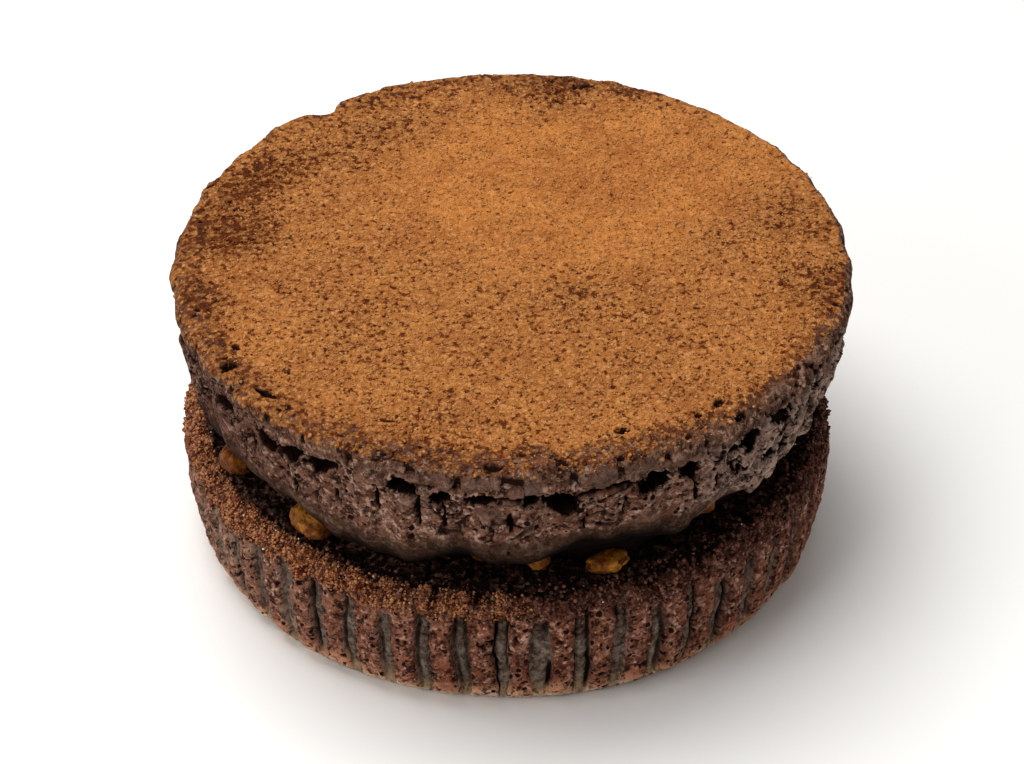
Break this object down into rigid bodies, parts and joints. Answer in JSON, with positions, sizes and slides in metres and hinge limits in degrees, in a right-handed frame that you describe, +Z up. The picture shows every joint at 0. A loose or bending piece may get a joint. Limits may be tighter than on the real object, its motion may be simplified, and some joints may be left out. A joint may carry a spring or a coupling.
{
  "type": "chocolate sandwich cookie",
  "caption": "Round soft cocoa sandwich cookie with pleated sides, a cocoa-dusted top, dark ganache filling and candied orange peel showing in the gap.",
  "frame": {"origin": "middle of the cookie's outline, on the plane that its flat foot rests on", "axes": "+Z up through the cookie, the short way; -Y is the front"},
  "size_m": [0.0706, 0.0708, 0.0326],
  "materials": {
    "dusted_cake": "dry open-crumb cocoa cake with a thick dusting of cocoa powder",
    "pleated_cake": "dry cocoa cake, pressed smooth in the folds of a paper cup and pitted on the ridges",
    "ganache": "soft dark chocolate ganache, satin",
    "candied_peel": "candied orange peel, translucent amber and glossy with syrup"
  },
  "bodies": {
    "root": {"lower_cookie": "pleated_cake", "upper_cookie": "dusted_cake", "ganache_filling": "ganache", "orange_peel_1": "candied_peel", "orange_peel_2": "candied_peel", "orange_peel_3": "candied_peel", "orange_peel_4": "candied_peel", "orange_peel_5": "candied_peel", "orange_peel_6": "candied_peel", "orange_peel_7": "candied_peel", "orange_peel_8": "candied_peel", "orange_peel_9": "candied_peel", "orange_peel_10": "candied_peel", "orange_peel_11": "candied_peel"}
  },
  "joints": []
}
